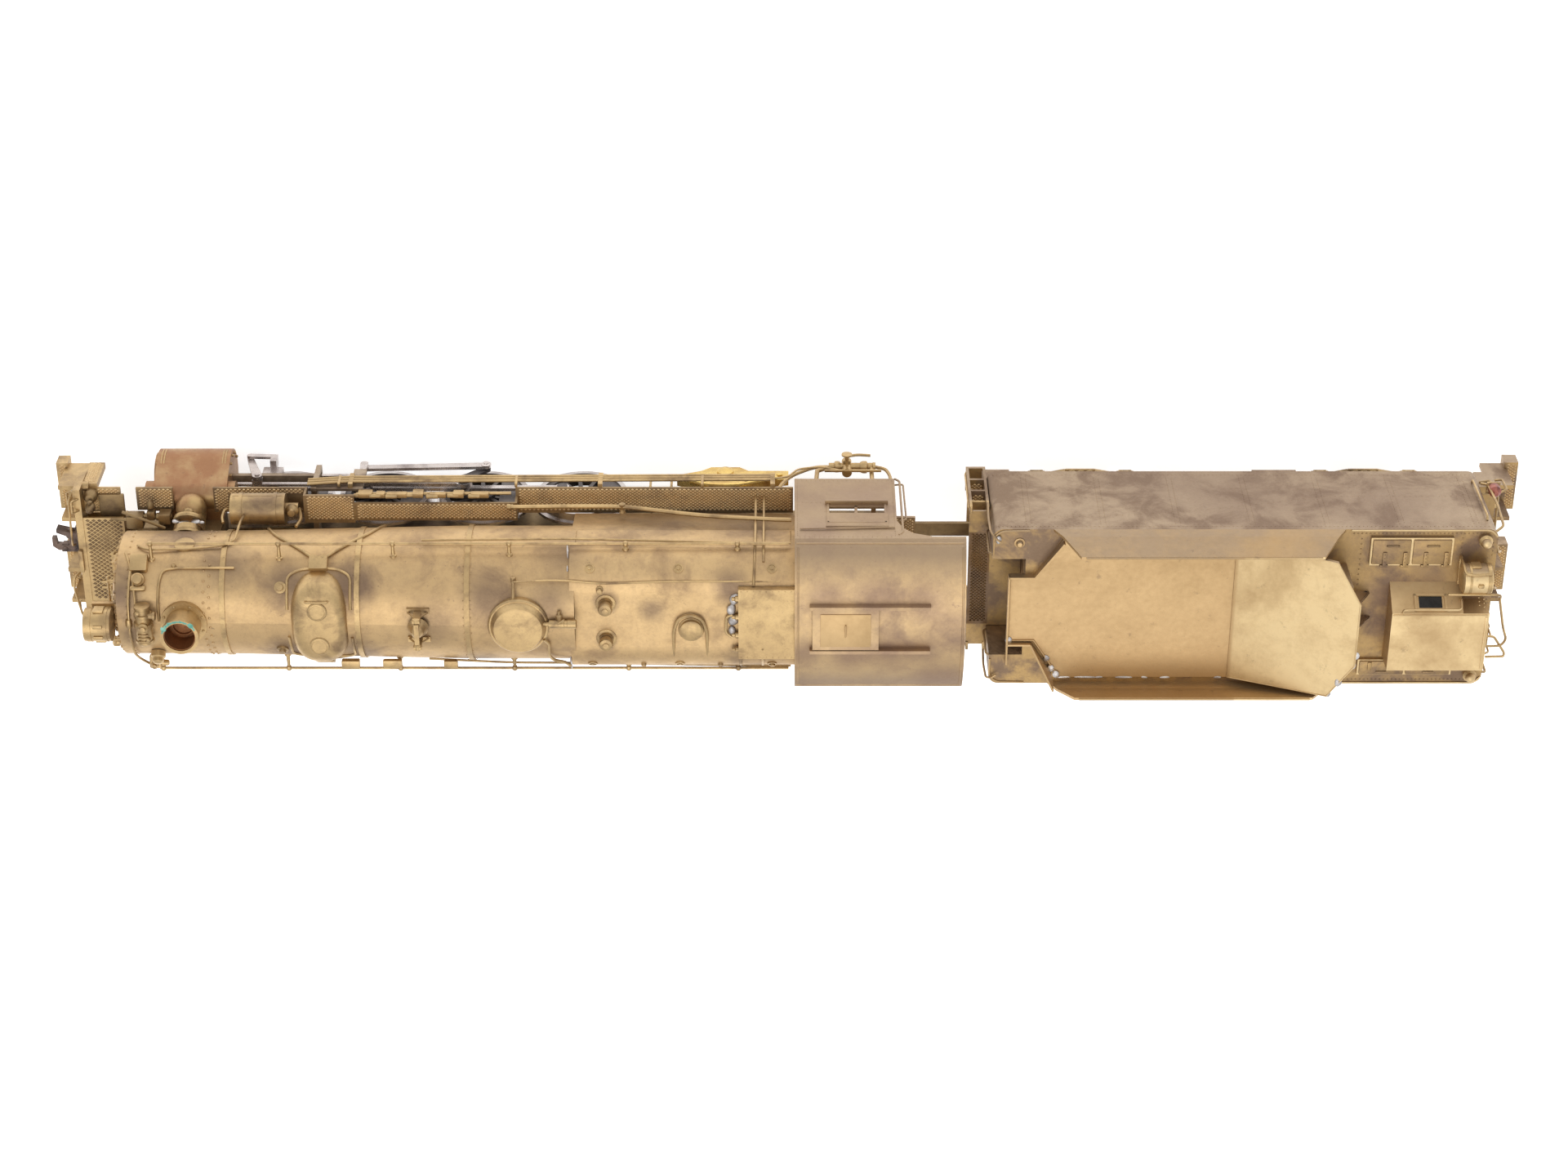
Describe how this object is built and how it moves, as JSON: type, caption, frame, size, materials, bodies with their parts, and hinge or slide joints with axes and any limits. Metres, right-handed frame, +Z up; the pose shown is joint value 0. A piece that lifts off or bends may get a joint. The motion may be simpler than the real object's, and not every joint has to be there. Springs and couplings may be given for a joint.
{
  "type": "model steam locomotive",
  "caption": "Scale model steam locomotive with tender in tarnished brass: boiler, enclosed cab, coupled drivers with rods and valve gear, trucks, tank tender with open coal bunker.",
  "frame": {"origin": "bottom centre of the bounding box, at the bottom of the wheel flanges", "axes": "+X to the front along the track, +Y to the locomotive's left, +Z up"},
  "size_m": [0.329, 0.0408, 0.0575],
  "materials": {
    "boiler_brass": "tarnished satin",
    "trim_brass": "tarnished satin",
    "tread_brass": "embossed, dark in the grooves",
    "cylinder_copper": "copper-brown tarnish",
    "cab_brass": "brown tarnish",
    "tender_brass": "mottled brown tarnish",
    "bunker_brass": "bright satin",
    "frame_dark": "dull",
    "motor_steel": "satin",
    "gear_brass": "satin",
    "wheel_steel": "nickel tread, dark centre",
    "truck_brass": "polished",
    "rod_nickel": "nickel silver",
    "coupler_iron": "dark"
  },
  "bodies": {
    "locomotive": {"boiler": "boiler_brass", "smokebox_front": "boiler_brass", "headlight": "trim_brass", "stack": "trim_brass", "sand_dome": "trim_brass", "steam_dome": "trim_brass", "boiler_fittings": "trim_brass", "handrails": "trim_brass", "air_tanks": "trim_brass", "piping": "trim_brass", "backhead": "trim_brass", "pilot": "trim_brass", "running_boards": "tread_brass", "cylinders": "cylinder_copper", "cab": "cab_brass", "main_frame": "frame_dark", "gearbox": "frame_dark", "motor": "motor_steel", "crosshead_guides": "truck_brass"},
    "driver_axle_1": {"driver_1": "wheel_steel"},
    "driver_axle_2": {"driver_2": "wheel_steel"},
    "driver_axle_3": {"driver_3": "wheel_steel", "axle_gear": "gear_brass"},
    "driver_axle_4": {"driver_4": "wheel_steel"},
    "side_rod_right": {"side_rod_right": "rod_nickel"},
    "main_rod_right": {"main_rod_right": "rod_nickel"},
    "eccentric_rod_right": {"eccentric_rod_right": "rod_nickel"},
    "crosshead_right": {"crosshead_right": "rod_nickel"},
    "valve_rod_right": {"valve_rod_right": "rod_nickel"},
    "combination_lever_right": {"combination_lever_right": "rod_nickel"},
    "expansion_link_right": {"expansion_link_right": "rod_nickel"},
    "side_rod_left": {"side_rod_left": "rod_nickel"},
    "main_rod_left": {"main_rod_left": "rod_nickel"},
    "eccentric_rod_left": {"eccentric_rod_left": "rod_nickel"},
    "crosshead_left": {"crosshead_left": "rod_nickel"},
    "valve_rod_left": {"valve_rod_left": "rod_nickel"},
    "combination_lever_left": {"combination_lever_left": "rod_nickel"},
    "expansion_link_left": {"expansion_link_left": "rod_nickel"},
    "idler": {"idler_gear": "gear_brass"},
    "worm": {"worm_shaft": "motor_steel"},
    "lead_truck": {"lead_truck": "truck_brass"},
    "lead_axle": {"lead_wheels": "wheel_steel"},
    "trailing_truck": {"trailing_truck": "truck_brass"},
    "trailing_axle": {"trailing_wheels": "wheel_steel"},
    "coupler": {"coupler": "coupler_iron"},
    "knuckle": {"coupler_knuckle": "coupler_iron"},
    "bell": {"bell": "trim_brass"},
    "roof_hatch": {"roof_hatch": "cab_brass"},
    "drawbar": {"drawbar": "frame_dark"},
    "tender": {"tender_tank": "tender_brass", "coal_bunker": "bunker_brass", "tender_frame": "tender_brass", "tender_fittings": "bunker_brass"},
    "tender_truck_front": {"tender_truck_front": "truck_brass"},
    "tender_axle_front_1": {"tender_wheels_front_1": "wheel_steel"},
    "tender_axle_front_2": {"tender_wheels_front_2": "wheel_steel"},
    "tender_truck_rear": {"tender_truck_rear": "truck_brass"},
    "tender_axle_rear_1": {"tender_wheels_rear_1": "wheel_steel"},
    "tender_axle_rear_2": {"tender_wheels_rear_2": "wheel_steel"}
  },
  "joints": [
    {"name": "driver_1_turn", "type": "hinge", "parent": "locomotive", "child": "driver_axle_1", "pos_m": [0.1113, 0, 0.01075], "axis": [0, 1, 0], "continuous": true},
    {"name": "driver_2_turn", "type": "hinge", "parent": "locomotive", "child": "driver_axle_2", "pos_m": [0.0893, 0, 0.01075], "axis": [0, 1, 0], "continuous": true},
    {"name": "driver_3_turn", "type": "hinge", "parent": "locomotive", "child": "driver_axle_3", "pos_m": [0.0673, 0, 0.01075], "axis": [0, 1, 0], "continuous": true},
    {"name": "driver_4_turn", "type": "hinge", "parent": "locomotive", "child": "driver_axle_4", "pos_m": [0.0453, 0, 0.01075], "axis": [0, 1, 0], "continuous": true},
    {"name": "side_rod_right_pivot", "type": "hinge", "parent": "driver_axle_3", "child": "side_rod_right", "pos_m": [0.0717, -0.01105, 0.01075], "axis": [0, 1, 0], "continuous": true},
    {"name": "main_rod_right_pivot", "type": "hinge", "parent": "driver_axle_3", "child": "main_rod_right", "pos_m": [0.0717, -0.0124, 0.01075], "axis": [0, 1, 0], "continuous": true},
    {"name": "eccentric_rod_right_pivot", "type": "hinge", "parent": "driver_axle_3", "child": "eccentric_rod_right", "pos_m": [0.067, -0.01415, 0.0059], "axis": [0, 1, 0], "continuous": true},
    {"name": "crosshead_right_slide", "type": "slide", "parent": "locomotive", "child": "crosshead_right", "axis": [1, 0, 0], "range_m": [-0.0088, 0]},
    {"name": "valve_rod_right_slide", "type": "slide", "parent": "locomotive", "child": "valve_rod_right", "axis": [1, 0, 0], "range_m": [-0.001, 0.001]},
    {"name": "combination_lever_right_swing", "type": "hinge", "parent": "valve_rod_right", "child": "combination_lever_right", "pos_m": [0.1172, -0.01595, 0.0144], "axis": [0, 1, 0], "range_deg": [-52, 52]},
    {"name": "expansion_link_right_swing", "type": "hinge", "parent": "locomotive", "child": "expansion_link_right", "pos_m": [0.0942, -0.01515, 0.0144], "axis": [0, 1, 0], "range_deg": [-18, 18]},
    {"name": "side_rod_left_pivot", "type": "hinge", "parent": "driver_axle_3", "child": "side_rod_left", "pos_m": [0.0673, 0.01105, 0.01515], "axis": [0, 1, 0], "continuous": true},
    {"name": "main_rod_left_pivot", "type": "hinge", "parent": "driver_axle_3", "child": "main_rod_left", "pos_m": [0.0673, 0.0124, 0.01515], "axis": [0, 1, 0], "continuous": true},
    {"name": "eccentric_rod_left_pivot", "type": "hinge", "parent": "driver_axle_3", "child": "eccentric_rod_left", "pos_m": [0.07215, 0.01415, 0.01045], "axis": [0, 1, 0], "continuous": true},
    {"name": "crosshead_left_slide", "type": "slide", "parent": "locomotive", "child": "crosshead_left", "axis": [1, 0, 0], "range_m": [-0.00417, 0.00463]},
    {"name": "valve_rod_left_slide", "type": "slide", "parent": "locomotive", "child": "valve_rod_left", "axis": [1, 0, 0], "range_m": [-0.001, 0.001]},
    {"name": "combination_lever_left_swing", "type": "hinge", "parent": "valve_rod_left", "child": "combination_lever_left", "pos_m": [0.11257, 0.01595, 0.0144], "axis": [0, 1, 0], "range_deg": [-52, 52]},
    {"name": "expansion_link_left_swing", "type": "hinge", "parent": "locomotive", "child": "expansion_link_left", "pos_m": [0.0942, 0.01515, 0.0144], "axis": [0, 1, 0], "range_deg": [-18, 18]},
    {"name": "idler_turn", "type": "hinge", "parent": "locomotive", "child": "idler", "pos_m": [0.0673, 0, 0.01921], "axis": [0, 1, 0], "continuous": true},
    {"name": "worm_turn", "type": "hinge", "parent": "locomotive", "child": "worm", "pos_m": [0.0673, 0, 0.02527], "axis": [1, 0, 0], "continuous": true},
    {"name": "lead_truck_swivel", "type": "hinge", "parent": "locomotive", "child": "lead_truck", "pos_m": [0.1215, 0, 0.00735], "axis": [0, 0, 1], "range_deg": [-3, 3]},
    {"name": "lead_axle_turn", "type": "hinge", "parent": "lead_truck", "child": "lead_axle", "pos_m": [0.137, 0, 0.0049], "axis": [0, 1, 0], "continuous": true},
    {"name": "trailing_truck_swivel", "type": "hinge", "parent": "locomotive", "child": "trailing_truck", "pos_m": [0.0315, 0, 0.0078], "axis": [0, 0, 1], "range_deg": [-4, 4]},
    {"name": "trailing_axle_turn", "type": "hinge", "parent": "trailing_truck", "child": "trailing_axle", "pos_m": [0.0132, 0, 0.0062], "axis": [0, 1, 0], "continuous": true},
    {"name": "coupler_swing", "type": "hinge", "parent": "locomotive", "child": "coupler", "pos_m": [0.1515, 0, 0.0142], "axis": [0, 0, 1], "range_deg": [-8, 8]},
    {"name": "knuckle_open", "type": "hinge", "parent": "coupler", "child": "knuckle", "pos_m": [0.1616, 0.0019, 0.0142], "axis": [0, 0, 1], "range_deg": [0, 30]},
    {"name": "bell_swing", "type": "hinge", "parent": "locomotive", "child": "bell", "pos_m": [0.0785, 0, 0.056], "axis": [0, 1, 0], "range_deg": [-25, 25]},
    {"name": "roof_hatch_slide", "type": "slide", "parent": "locomotive", "child": "roof_hatch", "axis": [-1, 0, 0], "range_m": [0, 0.0106]},
    {"name": "drawbar_front_pivot", "type": "hinge", "parent": "locomotive", "child": "drawbar", "pos_m": [-0.02, 0, 0.0095], "axis": [0, 0, 1], "range_deg": [-6, 6]},
    {"name": "drawbar_rear_pivot", "type": "hinge", "parent": "drawbar", "child": "tender", "pos_m": [-0.0485, 0, 0.0095], "axis": [0, 0, 1], "range_deg": [-6, 6]},
    {"name": "tender_truck_front_swivel", "type": "hinge", "parent": "tender", "child": "tender_truck_front", "pos_m": [-0.067, 0, 0.0105], "axis": [0, 0, 1], "range_deg": [-8, 8]},
    {"name": "tender_axle_front_1_turn", "type": "hinge", "parent": "tender_truck_front", "child": "tender_axle_front_1", "pos_m": [-0.057, 0, 0.0056], "axis": [0, 1, 0], "continuous": true},
    {"name": "tender_axle_front_2_turn", "type": "hinge", "parent": "tender_truck_front", "child": "tender_axle_front_2", "pos_m": [-0.077, 0, 0.0056], "axis": [0, 1, 0], "continuous": true},
    {"name": "tender_truck_rear_swivel", "type": "hinge", "parent": "tender", "child": "tender_truck_rear", "pos_m": [-0.131, 0, 0.0105], "axis": [0, 0, 1], "range_deg": [-8, 8]},
    {"name": "tender_axle_rear_1_turn", "type": "hinge", "parent": "tender_truck_rear", "child": "tender_axle_rear_1", "pos_m": [-0.121, 0, 0.0056], "axis": [0, 1, 0], "continuous": true},
    {"name": "tender_axle_rear_2_turn", "type": "hinge", "parent": "tender_truck_rear", "child": "tender_axle_rear_2", "pos_m": [-0.141, 0, 0.0056], "axis": [0, 1, 0], "continuous": true}
  ],
  "couplings": [
    {"joint": "driver_1_turn", "follows": "driver_3_turn", "ratio": 1},
    {"joint": "driver_2_turn", "follows": "driver_3_turn", "ratio": 1},
    {"joint": "driver_4_turn", "follows": "driver_3_turn", "ratio": 1},
    {"joint": "side_rod_right_pivot", "follows": "driver_3_turn", "ratio": -1},
    {"joint": "main_rod_right_pivot", "follows": "driver_3_turn", "ratio": -1},
    {"joint": "eccentric_rod_right_pivot", "follows": "driver_3_turn", "ratio": -1},
    {"joint": "combination_lever_right_swing", "follows": "crosshead_right_slide", "rad_per_m": -100},
    {"joint": "side_rod_left_pivot", "follows": "driver_3_turn", "ratio": -1},
    {"joint": "main_rod_left_pivot", "follows": "driver_3_turn", "ratio": -1},
    {"joint": "eccentric_rod_left_pivot", "follows": "driver_3_turn", "ratio": -1},
    {"joint": "combination_lever_left_swing", "follows": "crosshead_left_slide", "rad_per_m": -100},
    {"joint": "idler_turn", "follows": "driver_3_turn", "ratio": -1},
    {"joint": "worm_turn", "follows": "driver_3_turn", "ratio": 14}
  ]
}
